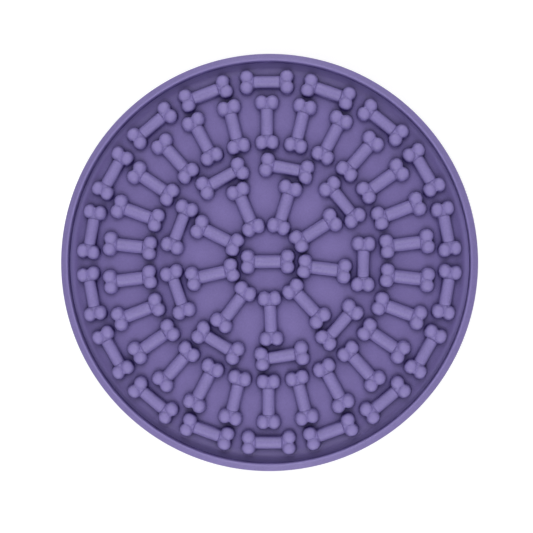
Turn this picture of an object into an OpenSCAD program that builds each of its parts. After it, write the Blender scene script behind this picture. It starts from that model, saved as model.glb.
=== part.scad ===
// Round silicone lick mat for pets, about 200 mm across.
// A thin disc carries a raised rim and rings of little bone-shaped ridges, and small
// suction cups hold it to the floor. All of it is one moulding on the real mat: the
// nodes are its features, which meet face to face.
// The rings are placed from the centre outwards, so the mat grows with its bones.
// The origin is on the floor under the middle of the mat, with the centre bone along X.

/* [Bone] */
// Distance between the two heads of a bone, knob centre to knob centre
knob_pitch = 19.5; // [15:0.1:24]
// Distance between the two knobs of one head, centre to centre
knob_spread = 5.2; // [4.4:0.1:6.2]
// Diameter of a knob
knob_d = 6.4; // [5.2:0.1:7.2]
// Height of a knob above the floor of the mat
knob_h = 4.2; // [3:0.1:6]
// Radius of the crown on top of a knob
knob_crown_r = 5.2; // [4:0.1:9]
// Radius of the edge round the crown
knob_edge_r = 1.5; // [0.4:0.1:2]
// Width of the shaft between the heads
shaft_w = 6; // [4:0.1:7]
// Height of the shaft above the floor of the mat
shaft_h = 3.8; // [3:0.1:6]
// Gap along the bone between the full shaft and the knob centres
shaft_end_gap = 3.2; // [2:0.1:5]
// How much narrower and lower the web in a head is than the shaft
web_inset = 0.8; // [0.2:0.05:1.2]
// Radius of the fillet where a bone grows out of the floor of the mat
bone_foot_r = 0.3; // [0.1:0.05:0.6]

/* [Bone rings] */
// Gap between the feet of the centre bone and of the inner spokes
centre_gap = 0.65; // [0.2:0.05:3.4]
// Gap between the feet of the inner spokes and of the middle ring
inner_gap = 0.1; // [0.05:0.05:3.4]
// Gap between the feet of the middle ring and of the outer spokes
middle_gap = 1.05; // [0.2:0.05:4.4]
// Gap between the feet of the outer spokes and of the outer ring
outer_gap = 0.75; // [0.2:0.05:4.4]
// Least gap between the feet of neighbours among the inner spokes
inner_spoke_gap = 0.1; // [0.05:0.05:3.4]
// Least gap between the feet of neighbours among the outer spokes
outer_spoke_gap = 1.4; // [0.4:0.1:7.4]
// Least gap between the feet of neighbours in the middle and outer rings
ring_bone_gap = 2.4; // [1.4:0.1:9.4]
// Bearing of the first inner spoke, in degrees from X
inner_spoke_bearing = 272.5; // [0:0.5:360]
// Bearing of the first bone of the middle ring
middle_ring_bearing = 278.2; // [0:0.1:360]
// Bearing of the first outer spoke and of the first bone of the outer ring
outer_bearing = 90; // [0:0.5:360]

/* [Disc and rim] */
// Thickness of the disc under the bones
disc_t = 2.4; // [1.5:0.1:5]
// Radius on the lower edge of the disc
disc_edge_r = 0.8; // [0.3:0.1:1.4]
// Gap between the feet of the outer ring and the fillet of the rim
rim_gap = 2.6; // [0.2:0.1:11]
// Width of the rim at its foot
rim_w = 3.9; // [3:0.1:6]
// Height of the crest of the rim above the floor of the mat
rim_h = 4.7; // [4.4:0.1:12]
// Radius on the crest, along the inner edge of the rim
rim_crest_r = 0.6; // [0.2:0.1:1]
// Radius on the shoulder, along the outer edge of the rim
rim_shoulder_r = 0.9; // [0.2:0.1:1.2]
// How far the top of the rim slopes down outwards from its crest, in degrees
rim_top_slope = 28; // [0:1:34]
// Draft of the inner face of the rim, in degrees
rim_inner_draft = 1; // [0:0.5:6]
// Draft of the outer face of the rim, in degrees
rim_outer_draft = 2; // [0:0.5:6]
// Radius of the fillet between the rim and the floor of the mat
rim_foot_r = 0.4; // [0.2:0.1:0.9]

/* [Suction cups] */
// Height of a suction cup under the disc
cup_h = 3; // [2:0.1:6]
// Diameter of the lip of a suction cup
cup_d = 16; // [12:0.5:20]
// Diameter of the neck that joins a cup to the disc
cup_neck_d = 7; // [4:0.5:9]
// Depth of the hollow in a suction cup
cup_hollow = 1.5; // [0.8:0.1:1.8]
// Width of the flat on the lip that touches the floor
cup_lip_w = 0.4; // [0.2:0.1:1]
// Height of the outer edge of the lip
cup_lip_t = 0.5; // [0.3:0.1:0.8]
// Cups in the inner ring
cup_inner_count = 6; // [3:1:8]
// Cups in the outer ring
cup_outer_count = 12; // [6:1:18]
// Gap between the lip of an outer cup and the edge of the disc
cup_edge_gap = 10; // [2:0.5:16]

/* [Hidden] */
$fn = 64;
silicone = [0.55, 0.50, 0.73];

knob_r = knob_d / 2;
foot_r = knob_r + bone_foot_r;
half_pitch = knob_pitch / 2;
half_spread = knob_spread / 2;

// Farthest reach of a spoke and of a ring bone from the middle of the mat, and the
// radius of a ring whose feet start at a given reach
function corner(x, y) = sqrt(x * x + y * y);
function spoke_reach(r) = corner(r + half_pitch, half_spread) + foot_r;
function ring_reach(r) = corner(r + half_spread, half_pitch) + foot_r;
function spoke_from(reach) = reach + foot_r + half_pitch;
function ring_from(reach) = sqrt(pow(reach + foot_r, 2) - pow(half_pitch, 2)) + half_spread;

// How many bones fit round a ring: x and y place the knob nearest the middle, and y
// is its distance from the line that the bone is centred on
function fit_round(x, y, gap) =
    floor(360 / (2 * atan2(y, x) + 2 * asin((foot_r + gap / 2) / corner(x, y))));

inner_spoke_r = spoke_from(spoke_reach(0) + centre_gap);
middle_ring_r = ring_from(spoke_reach(inner_spoke_r) + inner_gap);
outer_spoke_r = spoke_from(ring_reach(middle_ring_r) + middle_gap);
outer_ring_r = ring_from(spoke_reach(outer_spoke_r) + outer_gap);

inner_spokes = fit_round(inner_spoke_r - half_pitch, half_spread, inner_spoke_gap);
middle_bones = fit_round(middle_ring_r - half_spread, half_pitch, ring_bone_gap);
outer_spokes = fit_round(outer_spoke_r - half_pitch, half_spread, outer_spoke_gap);
outer_bones = fit_round(outer_ring_r - half_spread, half_pitch, ring_bone_gap);
outer_spoke_pairs = ceil(outer_spokes / 2);

rim_foot_inner_r = ring_reach(outer_ring_r) + rim_gap + rim_foot_r;
mat_r = rim_foot_inner_r + rim_w;

disc_z = cup_h;
floor_z = disc_z + disc_t;
cup_r = cup_d / 2;
cup_outer_ring_r = mat_r - cup_edge_gap - cup_r;
cup_inner_ring_r = cup_outer_ring_r / 2;

// Upright bar along X with a half-round top
module bar(length, width, height)
{
    rotate([90, 0, 90])
        linear_extrude(length, center = true)
            intersection()
            {
                translate([-width / 2, 0])
                    square([width, height]);
                union()
                {
                    translate([0, height - width / 2])
                        circle(width / 2);
                    translate([-width / 2, 0])
                        square([width, max(height - width / 2, 0)]);
                }
            }
}

// Flared foot along both sides of a bar
module bar_foot(length, width)
{
    rotate([90, 0, 90])
        linear_extrude(length, center = true)
            difference()
            {
                translate([-width / 2 - bone_foot_r, 0])
                    square([width + 2 * bone_foot_r, bone_foot_r]);
                for (side = [-1, 1])
                    translate([side * (width / 2 + bone_foot_r), bone_foot_r])
                        circle(bone_foot_r);
            }
}

// Knob: a short column with a crowned top, a rounded edge and a flared foot
module knob()
{
    edge_x = knob_r - knob_edge_r;
    crown_z = knob_h - knob_crown_r;
    edge_rise = sqrt(pow(knob_crown_r - knob_edge_r, 2) - pow(edge_x, 2));
    edge_z = crown_z + edge_rise;
    // where the crown runs into the edge without a crease
    meet_x = edge_x * knob_crown_r / (knob_crown_r - knob_edge_r);
    rotate_extrude()
    {
        intersection()
        {
            square([meet_x, knob_h]);
            translate([0, crown_z])
                circle(knob_crown_r);
        }
        square([knob_r, edge_z]);
        translate([edge_x, edge_z])
            circle(knob_edge_r);
        difference()
        {
            square([knob_r + bone_foot_r, bone_foot_r]);
            translate([knob_r + bone_foot_r, bone_foot_r])
                circle(bone_foot_r);
        }
    }
}

// One bone along X, standing on the floor of the mat
module bone()
{
    translate([0, 0, floor_z])
    {
        bar(knob_pitch - 2 * shaft_end_gap, shaft_w, shaft_h);
        bar_foot(knob_pitch - 2 * shaft_end_gap, shaft_w);
        bar(knob_pitch + knob_r, shaft_w - 2 * web_inset, shaft_h - web_inset);
        for (x = [-1, 1], y = [-1, 1])
            translate([x * half_pitch, y * half_spread])
                knob();
    }
}

module spoke(count, i, bearing, r)
{
    rotate(bearing + (i - 1) * 360 / count)
        translate([r, 0])
            bone();
}

module ring_bone(count, i, bearing, r)
{
    rotate(bearing + (i - 1) * 360 / count)
        translate([r, 0])
            rotate(90)
                bone();
}

module centre_bone()
{
    color(silicone)
        bone();
}

module inner_spoke_bone(i)
{
    color(silicone)
        spoke(inner_spokes, i, inner_spoke_bearing, inner_spoke_r);
}

module middle_ring_bone(i)
{
    color(silicone)
        ring_bone(middle_bones, i, middle_ring_bearing, middle_ring_r);
}

module outer_spoke_bone_pair(i)
{
    color(silicone)
        for (k = [2 * i - 1 : min(2 * i, outer_spokes)])
            spoke(outer_spokes, k, outer_bearing, outer_spoke_r);
}

module outer_ring_bone(i)
{
    color(silicone)
        ring_bone(outer_bones, i, outer_bearing, outer_ring_r);
}

// Flat disc with a rounded lower edge
module base_disc()
{
    color(silicone)
        translate([0, 0, disc_z])
            rotate_extrude($fn = 180)
            {
                square([mat_r - disc_edge_r, disc_t]);
                translate([0, disc_edge_r])
                    square([mat_r, disc_t - disc_edge_r]);
                translate([mat_r - disc_edge_r, disc_edge_r])
                    circle(disc_edge_r);
            }
}

// Wall round the edge, with its crest along the inner edge and a top that slopes outwards
module rim_wall()
{
    color(silicone)
        translate([0, 0, floor_z])
            rotate_extrude($fn = 180)
                rim_profile();
}

module rim_profile()
{
    in_r = rim_crest_r;
    out_r = rim_shoulder_r;
    crest_z = rim_h - in_r;
    crest_x = rim_foot_inner_r + crest_z * tan(rim_inner_draft) + in_r / cos(rim_inner_draft);
    // the shoulder touches the outer face and the sloping top
    level_x = mat_r - out_r / cos(rim_outer_draft);
    drop = (level_x - crest_x) * tan(rim_top_slope) + (out_r - in_r) / cos(rim_top_slope);
    shoulder_z = (crest_z - drop) / (1 - tan(rim_outer_draft) * tan(rim_top_slope));
    shoulder_x = level_x - shoulder_z * tan(rim_outer_draft);
    polygon([
        [rim_foot_inner_r, 0],
        [mat_r, 0],
        [shoulder_x + out_r * cos(rim_outer_draft), shoulder_z + out_r * sin(rim_outer_draft)],
        [shoulder_x + out_r * sin(rim_top_slope), shoulder_z + out_r * cos(rim_top_slope)],
        [crest_x + in_r * sin(rim_top_slope), crest_z + in_r * cos(rim_top_slope)],
        [crest_x - in_r * cos(rim_inner_draft), crest_z + in_r * sin(rim_inner_draft)]
    ]);
    translate([crest_x, crest_z])
        circle(in_r);
    translate([shoulder_x, shoulder_z])
        circle(out_r);
    difference()
    {
        translate([rim_foot_inner_r - rim_foot_r, 0])
            square([2 * rim_foot_r, rim_foot_r]);
        translate([rim_foot_inner_r - rim_foot_r, rim_foot_r])
            circle(rim_foot_r);
    }
}

// Suction cup: a neck that flares to a thin lip round a shallow hollow
module suction_cup()
{
    hollow_r = cup_r - cup_lip_w;
    ball_r = (pow(hollow_r, 2) + pow(cup_hollow, 2)) / 2 / cup_hollow;
    rotate_extrude()
        difference()
        {
            polygon([
                [0, 0],
                [cup_r, 0],
                [cup_r, cup_lip_t],
                [cup_neck_d / 2, cup_h - cup_lip_t],
                [cup_neck_d / 2, cup_h],
                [0, cup_h]
            ]);
            translate([0, cup_hollow - ball_r])
                circle(ball_r, $fn = 128);
        }
}

module cup_ring(count, r)
{
    for (i = [1 : count])
        rotate(i * 360 / count)
            translate([r, 0])
                suction_cup();
}

module centre_suction_cup()
{
    color(silicone)
        suction_cup();
}

module inner_suction_cups()
{
    color(silicone)
        cup_ring(cup_inner_count, cup_inner_ring_r);
}

module outer_suction_cups()
{
    color(silicone)
        cup_ring(cup_outer_count, cup_outer_ring_r);
}

base_disc();
rim_wall();
centre_bone();
for (i = [1 : inner_spokes])
    inner_spoke_bone(i);
for (i = [1 : middle_bones])
    middle_ring_bone(i);
for (i = [1 : outer_spoke_pairs])
    outer_spoke_bone_pair(i);
for (i = [1 : outer_bones])
    outer_ring_bone(i);
centre_suction_cup();
inner_suction_cups();
outer_suction_cups();
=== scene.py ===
import math

import bpy
import numpy as np
from mathutils import Matrix, Vector


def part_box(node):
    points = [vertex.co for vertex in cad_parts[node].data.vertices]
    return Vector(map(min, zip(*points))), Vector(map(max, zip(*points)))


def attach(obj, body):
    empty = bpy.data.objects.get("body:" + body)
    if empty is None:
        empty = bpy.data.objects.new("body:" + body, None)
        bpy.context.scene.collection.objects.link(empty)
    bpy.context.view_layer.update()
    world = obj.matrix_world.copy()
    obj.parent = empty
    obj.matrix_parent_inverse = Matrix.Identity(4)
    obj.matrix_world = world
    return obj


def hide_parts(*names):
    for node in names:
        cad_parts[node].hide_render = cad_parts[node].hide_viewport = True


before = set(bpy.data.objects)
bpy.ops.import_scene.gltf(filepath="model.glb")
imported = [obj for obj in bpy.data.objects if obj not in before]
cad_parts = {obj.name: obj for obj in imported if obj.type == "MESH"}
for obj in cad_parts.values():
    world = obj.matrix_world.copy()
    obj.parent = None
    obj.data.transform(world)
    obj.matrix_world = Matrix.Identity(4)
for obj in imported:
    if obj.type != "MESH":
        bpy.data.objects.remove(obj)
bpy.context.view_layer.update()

# Lengths are in millimetres, and become metres as each mesh, lamp or camera is made
MM = 0.001
BODY = "root"
IMAGE_SIZE = 533

# Bone: two heads of two knobs each, joined by a half-round shaft
KNOB_PITCH = 19.5
KNOB_SPREAD = 5.2
KNOB_R = 3.2
KNOB_H = 4.2
KNOB_CROWN_R = 5.2
KNOB_EDGE_R = 1.5
# Half of what a knob is longer along the bone than across it
KNOB_STRETCH = 0.25
SHAFT_W = 6.0
SHAFT_H = 3.8
SHAFT_LENGTH = 12.9
SHAFT_EDGE_R = 0.8
WEB_W = 4.4
WEB_H = 2.8
# How far the web reaches past the middles of the knobs
WEB_REACH = 1.9
WEB_EDGE_R = 0.3
# How far the soft joins reach: web to knobs, shaft to heads, and bone to floor
KNOB_JOIN = 0.8
SHAFT_JOIN = 0.45
FOOT_JOIN = 0.3
# The foot runs out this far, and ends this far under the floor
FOOT_REACH = 0.7
FOOT_UNDER = 0.03
# How deep a bone goes into the disc
BONE_ROOT = 0.3
# Cell of the grid that the mesh of a bone starts from
BONE_CELL = 0.4
# Its points then move onto the surface in this many rounds. The slope of the field is measured
# over a short step, and its square counts as this much at least
SETTLE_ROUNDS = 4
SLOPE_STEP = 0.001
LEAST_SLOPE_SQUARED = 0.2

# Rim: its crest is at the inner edge, and its top falls away outwards
RIM_FOOT_R = 0.2
RIM_W = 3.9
RIM_CREST_R = 0.6
RIM_SHOULDER_R = 0.9
RIM_TOP_SLOPE = math.radians(28)
RIM_INNER_DRAFT = math.radians(1)
RIM_OUTER_DRAFT = math.radians(2)
RIM_ROOT = 0.3

# Disc and suction cups
DISC_EDGE_R = 0.8
# Rings of faces on the disc, and steps round the axis of what is turned
DISC_RINGS = 10
TURN_STEPS = 360
CUP_STEPS = 72
CUP_RINGS = (("inner_suction_cups", 6), ("outer_suction_cups", 12))
CUP_NECK_R = 3.4
CUP_NECK_FILLET = 0.8
CUP_LIP_T = 0.45
CUP_LIP_W = 0.4
CUP_LIP_EDGE_R = 0.15
CUP_HOLLOW = 1.5
CUP_HOLLOW_STEPS = 16
CUP_ROOT = 0.3
ARC_STEP = math.radians(12)
# Points of an outline nearer the axis than this are on it
ON_AXIS = 1e-9


# Field of a bone: below zero inside, in millimetres

def soft_union(a, b, reach):
    """The lower of two fields, with a rounded join that reaches this far."""
    near = np.maximum(reach - np.abs(a - b), 0) / reach
    return np.minimum(a, b) - near * near * reach / 4


def rounded_both(a, b, radius):
    """Inside both fields, each drawn in by the radius beforehand, with their edge rounded."""
    outside = np.hypot(np.maximum(a, 0), np.maximum(b, 0))
    return outside + np.minimum(np.maximum(a, b), 0) - radius


def knob_field(p):
    along = np.maximum(np.abs(np.abs(p[..., 0]) - KNOB_PITCH / 2) - KNOB_STRETCH, 0)
    across = np.abs(p[..., 1]) - KNOB_SPREAD / 2
    r = np.hypot(along, across)
    side = r - (KNOB_R - KNOB_EDGE_R)
    crown = np.hypot(r, p[..., 2] - (KNOB_H - KNOB_CROWN_R)) - (KNOB_CROWN_R - KNOB_EDGE_R)
    return rounded_both(side, crown, KNOB_EDGE_R)


def bar_field(p, length, width, height, edge_r):
    """Upright bar along X with a half-round top."""
    over = np.maximum(p[..., 2] - (height - width / 2), 0)
    section = np.hypot(p[..., 1], over) - width / 2
    end = np.abs(p[..., 0]) - length / 2
    return rounded_both(section + edge_r, end + edge_r, edge_r)


def bone_field(p):
    web = bar_field(p, KNOB_PITCH + 2 * WEB_REACH, WEB_W, WEB_H, WEB_EDGE_R)
    shaft = bar_field(p, SHAFT_LENGTH, SHAFT_W, SHAFT_H, SHAFT_EDGE_R)
    heads = soft_union(knob_field(p), web, KNOB_JOIN)
    bone = soft_union(heads, shaft, SHAFT_JOIN)
    with_floor = soft_union(bone, p[..., 2] + FOOT_UNDER, FOOT_JOIN)
    foot = np.maximum(with_floor, bone - FOOT_REACH)
    return np.maximum(foot, -p[..., 2] - BONE_ROOT)


def slope_of(field, points):
    """Gradient of a field at some points, by small steps."""
    value = field(points)
    steps = SLOPE_STEP * np.eye(3)
    return np.stack([(field(points + step) - value) / SLOPE_STEP for step in steps], 1)


def surface_of(field, low, high, cell):
    """Quads round the body where the field is below zero, with its points set on the surface."""
    low = np.array(low, float)
    size = np.ceil((np.array(high) - low) / cell).astype(int) + 1
    ticks = [low[k] + cell * np.arange(size[k]) for k in range(3)]
    value = field(np.stack(np.meshgrid(*ticks, indexing="ij"), -1))
    total = np.zeros((*(size - 1), 3))
    hits = np.zeros(size - 1)
    quads = []
    for axis in range(3):
        first = np.take(value, range(size[axis] - 1), axis)
        second = np.take(value, range(1, size[axis]), axis)
        start = np.argwhere((first < 0) != (second < 0))
        a, b = first[tuple(start.T)], second[tuple(start.T)]
        at = low + cell * start
        at[:, axis] += cell * a / (a - b)
        others = np.eye(3, dtype=int)[[(axis + 1) % 3, (axis + 2) % 3]]
        ring = np.array([(0, 0), (1, 0), (1, 1), (0, 1)]) @ others
        cells = start[:, None] - ring
        for k in range(len(ring)):
            np.add.at(total, tuple(cells[:, k].T), at)
            np.add.at(hits, tuple(cells[:, k].T), 1)
        cells[a > 0] = cells[a > 0][:, ::-1]
        quads.append(cells)
    used = np.argwhere(hits > 0)
    number = np.zeros(size - 1, int)
    number[tuple(used.T)] = np.arange(len(used))
    points = total[tuple(used.T)] / hits[tuple(used.T)][:, None]
    for _ in range(SETTLE_ROUNDS):
        slope = slope_of(field, points)
        steep = np.maximum((slope * slope).sum(1), LEAST_SLOPE_SQUARED)
        points = points - slope * (field(points) / steep)[:, None]
    faces = number[tuple(np.moveaxis(np.concatenate(quads), -1, 0))]
    return points, faces


def bone_mesh():
    knobs = np.array([KNOB_PITCH, KNOB_SPREAD]) / 2
    half = knobs + KNOB_R + KNOB_STRETCH + FOOT_REACH + 2 * BONE_CELL
    low = (-half[0], -half[1], -BONE_ROOT - BONE_CELL)
    high = (half[0], half[1], KNOB_H + BONE_CELL)
    return surface_of(bone_field, low, high, BONE_CELL)


# Turned shapes

def arc_corner(before, corner, after, radius):
    """Points of the arc that rounds one corner of an outline."""
    p, c, q = (np.array(v, float) for v in (before, corner, after))
    u, w = (p - c) / np.linalg.norm(p - c), (q - c) / np.linalg.norm(q - c)
    half = math.acos(np.clip(u @ w, -1, 1)) / 2
    middle = c + (u + w) / np.linalg.norm(u + w) * radius / math.sin(half)
    start = c + u * radius / math.tan(half) - middle
    turn = math.pi - 2 * half
    if start[0] * (c - middle)[1] - start[1] * (c - middle)[0] < 0:
        turn = -turn
    steps = max(2, math.ceil(abs(turn) / ARC_STEP))
    angles = [turn * k / steps for k in range(steps + 1)]
    return [
        middle + (
            start[0] * math.cos(a) - start[1] * math.sin(a),
            start[0] * math.sin(a) + start[1] * math.cos(a),
        )
        for a in angles
    ]


def outline(corners):
    """Outline from corners of (radius from the axis, height, rounding)."""
    points = []
    for k, (r, z, rounding) in enumerate(corners):
        if rounding:
            before, after = corners[k - 1][:2], corners[(k + 1) % len(corners)][:2]
            points += arc_corner(before, (r, z), after, rounding)
        else:
            points.append(np.array((r, z), float))
    return points


def turned(profile, steps, centre=(0, 0)):
    """Closed mesh of a closed profile turned round an upright axis. Points on the axis are poles."""
    points, columns = [], []
    turns = [2 * math.pi * k / steps for k in range(steps)]
    for r, z in profile:
        if r < ON_AXIS:
            columns.append([len(points)] * steps)
            points.append((centre[0], centre[1], z))
        else:
            columns.append(list(range(len(points), len(points) + steps)))
            points += [
                (centre[0] + r * math.cos(a), centre[1] + r * math.sin(a), z) for a in turns
            ]
    faces = []
    for k, here in enumerate(columns):
        there = columns[(k + 1) % len(columns)]
        for i in range(steps):
            j = (i + 1) % steps
            face = list(dict.fromkeys((here[i], here[j], there[j], there[i])))
            if len(face) > 2:
                faces.append(face)
    return np.array(points, float), faces


# Pieces

def place(points, x, y, z, angle):
    """Points turned about Z by the angle, then moved."""
    c, s = math.cos(angle), math.sin(angle)
    turn = np.array([(c, s, 0), (-s, c, 0), (0, 0, 1)])
    return points @ turn + (x, y, z)


def make_piece(name, nodes, parts, material):
    """One smooth mesh out of several (points, faces), in place of these CAD nodes."""
    points, faces = [], []
    for part_points, part_faces in parts:
        shift = sum(len(p) for p in points)
        points.append(part_points)
        faces += [[i + shift for i in face] for face in part_faces]
    mesh = bpy.data.meshes.new(name)
    mesh.from_pydata((np.concatenate(points) * MM).tolist(), [], faces)
    mesh.validate()
    mesh.shade_smooth()
    mesh.materials.append(material)
    piece = bpy.data.objects.new(name, mesh)
    bpy.context.scene.collection.objects.link(piece)
    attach(piece, BODY)
    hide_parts(*nodes)
    return piece


def node_points(node):
    """The points of a CAD node, in millimetres."""
    return np.array([v.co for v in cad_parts[node].data.vertices]) / MM


def middle_of(points):
    return (points.min(0) + points.max(0)) / 2


def bone_places(node):
    """Where the bones of a node stand: (x, y, angle) of each."""
    points = node_points(node)
    if "pair" in node:
        x, y = points[:, :2].mean(0)
        left = x * points[:, 1] - y * points[:, 0] > 0
        groups = [points[~left], points[left]]
    else:
        groups = [points]
    places = []
    for group in groups:
        x, y, _ = middle_of(group)
        angle = math.atan2(y, x)
        if node == "centre_bone":
            angle = 0
        elif "ring" in node:
            angle += math.pi / 2
        places.append((x, y, angle))
    return places


def make_bones(material):
    floor_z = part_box("base_disc")[1].z / MM
    points, faces = bone_mesh()
    for node in sorted(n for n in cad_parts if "bone" in n):
        parts = [
            (place(points, x, y, floor_z, angle), faces) for x, y, angle in bone_places(node)
        ]
        make_piece("moulded_" + node, [node], parts, material)


def make_disc(material):
    low, high = (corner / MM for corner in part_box("base_disc"))
    profile = [(0, low.z)]
    profile += [(high.x * k / DISC_RINGS, low.z) for k in range(1, DISC_RINGS)]
    profile += outline([(0, low.z, 0), (high.x, low.z, DISC_EDGE_R), (high.x, high.z, 0)])[1:]
    profile += [(high.x * k / DISC_RINGS, high.z) for k in range(DISC_RINGS - 1, -1, -1)]
    make_piece("moulded_disc", ["base_disc"], [turned(profile, TURN_STEPS)], material)


def make_rim(material):
    low, high = (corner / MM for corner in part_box("rim_wall"))
    floor_z, outer_r = low.z, high.x
    foot_r = outer_r - RIM_W
    start_r = foot_r - RIM_FOOT_R - RIM_ROOT
    # the crest is an arc that touches the inner face and the sloping top
    crest_z = high.z - RIM_CREST_R
    crest_r = (foot_r + (crest_z - floor_z) * math.tan(RIM_INNER_DRAFT)
               + RIM_CREST_R / math.cos(RIM_INNER_DRAFT))
    edge_z = crest_z + RIM_CREST_R / math.cos(RIM_TOP_SLOPE)
    slope, draft = math.tan(RIM_TOP_SLOPE), math.tan(RIM_OUTER_DRAFT)
    inner = math.tan(RIM_INNER_DRAFT)
    corner_z = (edge_z + slope * (crest_r - foot_r + inner * floor_z)) / (1 + slope * inner)
    corner_r = foot_r + (corner_z - floor_z) * inner
    shoulder_z = (edge_z - slope * (outer_r + draft * floor_z - crest_r)) / (1 - slope * draft)
    shoulder_r = outer_r - (shoulder_z - floor_z) * draft
    profile = outline([
        (start_r, floor_z - RIM_ROOT, 0),
        (outer_r - RIM_ROOT, floor_z - RIM_ROOT, 0),
        (outer_r, floor_z, 0),
        (shoulder_r, shoulder_z, RIM_SHOULDER_R),
        (corner_r, corner_z, RIM_CREST_R),
        (foot_r, floor_z - FOOT_UNDER, RIM_FOOT_R),
        (start_r, floor_z - FOOT_UNDER, 0),
    ])
    make_piece("moulded_rim", ["rim_wall"], [turned(profile, TURN_STEPS)], material)


def cup_profile(height, lip_r):
    """A neck that flares to a thin lip round a shallow hollow, from the floor up."""
    hollow_r = lip_r - CUP_LIP_W
    ball_r = (hollow_r ** 2 + CUP_HOLLOW ** 2) / (2 * CUP_HOLLOW)
    hollow = [
        (r, math.sqrt(ball_r ** 2 - r ** 2) - ball_r + CUP_HOLLOW)
        for r in np.linspace(0, hollow_r, CUP_HOLLOW_STEPS)
    ]
    outside = outline([
        (hollow_r, 0, 0),
        (lip_r, 0, CUP_LIP_EDGE_R),
        (lip_r, CUP_LIP_T, CUP_LIP_EDGE_R),
        (CUP_NECK_R, height - CUP_NECK_FILLET, CUP_NECK_FILLET),
        (CUP_NECK_R, height, 0),
    ])[1:]
    return hollow + outside + [(CUP_NECK_R, height + CUP_ROOT), (0, height + CUP_ROOT)]


def make_cups(material):
    low, high = (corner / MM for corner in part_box("centre_suction_cup"))
    profile = cup_profile(high.z - low.z, high.x)
    make_piece("moulded_centre_cup", ["centre_suction_cup"],
               [turned(profile, CUP_STEPS)], material)
    for node, count in CUP_RINGS:
        ring_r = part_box(node)[1].x / MM - high.x
        turns = [2 * math.pi * k / count for k in range(count)]
        parts = [
            turned(profile, CUP_STEPS, (ring_r * math.cos(a), ring_r * math.sin(a)))
            for a in turns
        ]
        make_piece("moulded_" + node, [node], parts, material)


# Silicone

# Colour in the open, and the painted shade colour where the moulding is closed in by its neighbours
SILICONE = (0.229, 0.186, 0.442)
# Painted highlight: a paler copy of the bone colour for the crests of the bones
SILICONE_PAINTED_HIGHLIGHT = (0.249, 0.202, 0.474)
# Painted shade: the rim and the floor are darker copies of the bone colour, the same silicone
# painted darker
SILICONE_RIM_PAINTED_SHADE = (0.200, 0.159, 0.395)
SILICONE_FLOOR_PAINTED_SHADE = (0.181, 0.140, 0.367)
SILICONE_PAINTED_SHADE = (0.012, 0.001, 0.086)
# How open a place is, out of 1, where the painted shade colour ends and where the open one starts
RAISED_OPEN = (0.26, 0.84)
FLOOR_OPEN = (0.44, 0.92)
# How far under its highest line a raised form starts to take the painted highlight, and takes it
# wholly
CREST_HIGHLIGHT_DEPTH = (0.35, 0.05)
# Beside the rim and outside it nothing closes the moulding in lengthwise, so from the first radius
# to the second the painted crevice shade fades and the open colour comes back
CHANNEL_R = (91.0, 94.9)
OUTSIDE_R = (98.5, 99.5)
# The floor is painted as pale as the bones beside the rim, as painted light, and takes the shaded
# colour of the rim under it
BESIDE_RIM_PAINTED_LIGHT_R = (94.0, 95.4)
UNDER_RIM_R = (97.0, 98.0)
# How far off a neighbour still counts as closing a place in for the painted shade, and the rays that
# look for it
OPEN_REACH = 8.0
OPEN_RAYS = 8
# Specks and cloudy patches: their size, and how far they take the colour up and down
SPECK_SIZE = 0.9
SPECK = 0.05
CLOUD_SIZE = 9.0
CLOUD = 0.04
# Values that most of a noise lies between, and the octaves of each noise
NOISE_ENDS = (0.3, 0.7)
SPECK_OCTAVES = 1.0
CLOUD_OCTAVES = 3.0
GLOSS_OCTAVES = 3.0
GRAIN_OCTAVES = 2.0
# Roughness goes from the first to the second in patches of this size
ROUGHNESS = (0.46, 0.56)
GLOSS_SIZE = 2.0
SPECULAR = 0.4
# Grain in the surface: its size, its depth, and the share of it that shows
GRAIN_SIZE = 0.5
GRAIN_DEPTH = 0.02
GRAIN_SHARE = 0.35


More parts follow.
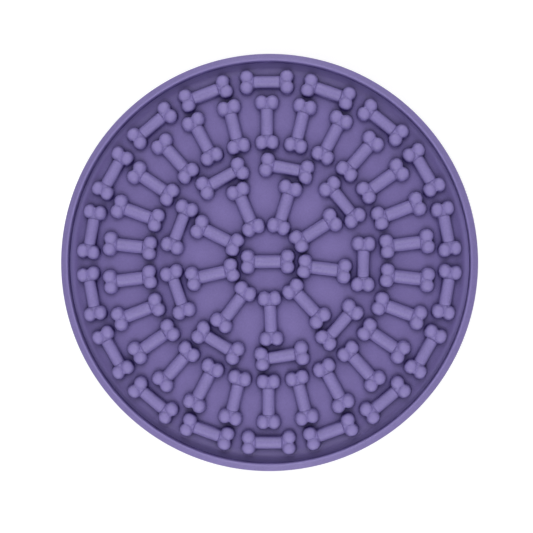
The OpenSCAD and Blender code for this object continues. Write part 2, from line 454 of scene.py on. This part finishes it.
def silicone(name, open_colour, open_range, open_curve, shade_free_r, crest=None, painted_rings=()):
    """Matte moulded silicone: soft gloss, a fine grain, uneven colour in specks and clouds, painted
    shade in the crevices, a painted highlight on the crest and painted rings of colour by radius.
    """
    material = bpy.data.materials.new(name)
    material.use_nodes = True
    nodes, links = material.node_tree.nodes, material.node_tree.links
    shader = nodes["Principled BSDF"]
    place_at = nodes.new("ShaderNodeTexCoord").outputs["Object"]

    def noise(size, octaves):
        node = nodes.new("ShaderNodeTexNoise")
        node.inputs["Scale"].default_value = 1 / (size * MM)
        node.inputs["Detail"].default_value = octaves
        links.new(place_at, node.inputs["Vector"])
        return node.outputs["Fac"]

    def spread(value, start, end, low=0, high=1, curve="LINEAR"):
        node = nodes.new("ShaderNodeMapRange")
        node.interpolation_type = curve
        node.inputs["From Min"].default_value = start
        node.inputs["From Max"].default_value = end
        node.inputs["To Min"].default_value = low
        node.inputs["To Max"].default_value = high
        links.new(value, node.inputs["Value"])
        return node.outputs["Result"]

    def blend(a, b, factor):
        node = nodes.new("ShaderNodeMix")
        node.data_type = "RGBA"
        for colour, socket in ((a, node.inputs["A"]), (b, node.inputs["B"])):
            if isinstance(colour, tuple):
                socket.default_value = (*colour, 1)
            else:
                links.new(colour, socket)
        links.new(factor, node.inputs["Factor"])
        return node.outputs["Result"]

    def shade(share):
        return tuple(share * c for c in open_colour)

    speck = spread(noise(SPECK_SIZE, SPECK_OCTAVES), *NOISE_ENDS)
    darker, paler = (
        blend(shade(level - SPECK), shade(level + SPECK), speck)
        for level in (1 - CLOUD, 1 + CLOUD)
    )
    pigment_and_painted_light = blend(darker, paler, spread(noise(CLOUD_SIZE, CLOUD_OCTAVES), *NOISE_ENDS))
    # Painted highlight: the top of a raised form is painted paler towards its highest line, the
    # rim's with the bone colour
    if crest:
        crest_z, highlight_colour = crest
        height = nodes.new("ShaderNodeSeparateXYZ")
        links.new(place_at, height.inputs["Vector"])
        start, end = (crest_z - MM * depth for depth in CREST_HIGHLIGHT_DEPTH)
        pigment_and_painted_light = blend(pigment_and_painted_light, highlight_colour, spread(height.outputs["Z"], start, end))

    distance = nodes.new("ShaderNodeVectorMath")
    distance.operation = "LENGTH"
    links.new(place_at, distance.inputs[0])
    radius = distance.outputs["Value"]
    # Painted light and shade by radius: a pale band on the floor beside the rim, and the rim's
    # darker colour under it
    for (start, end), ring_colour in painted_rings:
        pigment_and_painted_light = blend(pigment_and_painted_light, ring_colour, spread(radius, MM * start, MM * end))

    # Painted shade: places closed in by neighbours take the dark colour, except in the radii where
    # it fades out
    crevice_shade_probe = nodes.new("ShaderNodeAmbientOcclusion")
    crevice_shade_probe.samples = OPEN_RAYS
    crevice_shade_probe.inputs["Distance"].default_value = OPEN_REACH * MM
    openness = nodes.new("ShaderNodeMath")
    openness.operation = "MAXIMUM"
    start, end = (MM * r for r in shade_free_r)
    links.new(spread(crevice_shade_probe.outputs["AO"], *open_range, curve=open_curve), openness.inputs[0])
    links.new(spread(radius, start, end), openness.inputs[1])
    colour = blend(SILICONE_PAINTED_SHADE, pigment_and_painted_light, openness.outputs["Value"])
    links.new(colour, shader.inputs["Base Color"])

    roughness = spread(noise(GLOSS_SIZE, GLOSS_OCTAVES), *NOISE_ENDS, *ROUGHNESS)
    links.new(roughness, shader.inputs["Roughness"])
    shader.inputs["Specular IOR Level"].default_value = SPECULAR
    bump = nodes.new("ShaderNodeBump")
    bump.inputs["Strength"].default_value = GRAIN_SHARE
    bump.inputs["Distance"].default_value = GRAIN_DEPTH * MM
    links.new(noise(GRAIN_SIZE, GRAIN_OCTAVES), bump.inputs["Height"])
    links.new(bump.outputs["Normal"], shader.inputs["Normal"])
    return material


# Studio

# Camera, from the places of the knobs in the photograph
CAMERA_DISTANCE = 520
CAMERA_TILT = math.radians(3.10)
CAMERA_BEARING = math.radians(-28.9)
CAMERA_ROLL = math.radians(-0.312)
CAMERA_AIM = (-0.94, -2.18, 0.0)
SENSOR = 36.0
FOCAL_PIXELS = 1065.1
CAMERA_NEAR = 10
CAMERA_FAR = 20000

# Share of the plain level that the sky gives to a level surface
SKY_LEVEL = 0.20
# Soft lamps: angle from straight up, bearing from X, and share of the plain level
LAMPS = (
    (40, 90, 0.21), (40, 270, 0.25), (65, 90, 0.05), (65, 270, 0.06),
    (40, 225, 0.08), (40, 135, 0.05), (65, 315, 0.03), (65, 45, 0.02),
)
LAMP_DISTANCE = 1300
LAMP_SIZE = 550
FLOOR_RADIUS = 700
FLOOR_COLOUR = 0.85
# In the picture the floor is mostly plain white, and the rest of it takes the shadow
FLOOR_WHITE = 0.77
FLOOR_SHADED = 0.40


def make_camera():
    tilt = math.sin(CAMERA_TILT)
    away = Vector((
        tilt * math.cos(CAMERA_BEARING), tilt * math.sin(CAMERA_BEARING), math.cos(CAMERA_TILT)
    ))
    at = away * CAMERA_DISTANCE
    forward = (Vector(CAMERA_AIM) - at).normalized()
    right = forward.cross(Vector((-math.sin(CAMERA_ROLL), math.cos(CAMERA_ROLL), 0))).normalized()
    up = right.cross(forward)
    data = bpy.data.cameras.new("camera")
    data.sensor_width = SENSOR
    data.lens = FOCAL_PIXELS * SENSOR / IMAGE_SIZE
    data.clip_start = CAMERA_NEAR * MM
    data.clip_end = CAMERA_FAR * MM
    camera = bpy.data.objects.new("camera", data)
    turn = Matrix((right, up, -forward)).transposed().to_4x4()
    camera.matrix_world = Matrix.Translation(at * MM) @ turn
    bpy.context.scene.collection.objects.link(camera)
    bpy.context.scene.camera = camera


def soft_lamp(name, zenith, bearing, level):
    """Round soft lamp, aimed at the middle of the mat."""
    zenith, bearing = math.radians(zenith), math.radians(bearing)
    around = math.sin(zenith)
    at = Vector((around * math.cos(bearing), around * math.sin(bearing), math.cos(zenith)))
    at *= LAMP_DISTANCE * MM
    data = bpy.data.lights.new(name, "AREA")
    data.shape = "DISK"
    data.size = LAMP_SIZE * MM
    data.energy = level * math.pi ** 2 * at.length_squared / math.cos(zenith)
    lamp = bpy.data.objects.new(name, data)
    lamp.location = at
    lamp.rotation_euler = (-at).to_track_quat("-Z", "Y").to_euler()
    lamp.visible_camera = False
    bpy.context.scene.collection.objects.link(lamp)


def grey(level):
    return (level, level, level, 1)


def seen_directly(tree):
    """One for the camera, and for what shows in gloss or through glass; otherwise zero."""
    path = tree.nodes.new("ShaderNodeLightPath")
    value = path.outputs["Is Camera Ray"]
    for ray in ("Is Glossy Ray", "Is Transmission Ray"):
        both = tree.nodes.new("ShaderNodeMath")
        both.operation = "MAXIMUM"
        tree.links.new(value, both.inputs[0])
        tree.links.new(path.outputs[ray], both.inputs[1])
        value = both.outputs[0]
    return value


def make_world():
    world = bpy.data.worlds.new("studio")
    world.use_nodes = True
    tree = world.node_tree
    background = tree.nodes["Background"]
    background.inputs["Color"].default_value = grey(1)
    level = tree.nodes.new("ShaderNodeMapRange")
    level.inputs["To Min"].default_value = SKY_LEVEL
    level.inputs["To Max"].default_value = 1
    tree.links.new(seen_directly(tree), level.inputs["Value"])
    tree.links.new(level.outputs["Result"], background.inputs["Strength"])
    bpy.context.scene.world = world


def make_floor():
    turns = [2 * math.pi * k / TURN_STEPS for k in range(TURN_STEPS)]
    edge = [(FLOOR_RADIUS * MM * math.cos(a), FLOOR_RADIUS * MM * math.sin(a), 0) for a in turns]
    mesh = bpy.data.meshes.new("floor")
    mesh.from_pydata(edge, [], [range(TURN_STEPS)])
    material = bpy.data.materials.new("pale_floor")
    material.use_nodes = True
    tree = material.node_tree
    tree.nodes.remove(tree.nodes["Principled BSDF"])
    lit = tree.nodes.new("ShaderNodeBsdfDiffuse")
    lit.inputs["Color"].default_value = grey(FLOOR_COLOUR)
    shaded = tree.nodes.new("ShaderNodeBsdfDiffuse")
    shaded.inputs["Color"].default_value = grey(FLOOR_SHADED)
    white = tree.nodes.new("ShaderNodeEmission")
    white.inputs["Strength"].default_value = FLOOR_WHITE
    seen = tree.nodes.new("ShaderNodeAddShader")
    tree.links.new(shaded.outputs[0], seen.inputs[0])
    tree.links.new(white.outputs[0], seen.inputs[1])
    mix = tree.nodes.new("ShaderNodeMixShader")
    tree.links.new(seen_directly(tree), mix.inputs[0])
    tree.links.new(lit.outputs[0], mix.inputs[1])
    tree.links.new(seen.outputs[0], mix.inputs[2])
    tree.links.new(mix.outputs[0], tree.nodes["Material Output"].inputs["Surface"])
    mesh.materials.append(material)
    floor = bpy.data.objects.new("floor", mesh)
    bpy.context.scene.collection.objects.link(floor)


make_camera()
raised = silicone("silicone_raised", SILICONE, RAISED_OPEN, "SMOOTHSTEP", OUTSIDE_R,
                  crest=(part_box("centre_bone")[1].z, SILICONE_PAINTED_HIGHLIGHT))
rim = silicone("silicone_rim", SILICONE_RIM_PAINTED_SHADE, RAISED_OPEN, "SMOOTHSTEP", OUTSIDE_R,
               crest=(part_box("rim_wall")[1].z, SILICONE))
floor = silicone("silicone_floor", SILICONE_FLOOR_PAINTED_SHADE, FLOOR_OPEN, "LINEAR", CHANNEL_R,
                 painted_rings=((BESIDE_RIM_PAINTED_LIGHT_R, SILICONE), (UNDER_RIM_R, SILICONE_RIM_PAINTED_SHADE)))
make_disc(floor)
make_rim(rim)
make_bones(raised)
make_cups(floor)
make_world()
make_floor()
for number, (zenith, bearing, level) in enumerate(LAMPS):
    soft_lamp(f"soft_lamp_{number}", zenith, bearing, level)
bpy.context.scene.view_settings.view_transform = "Standard"
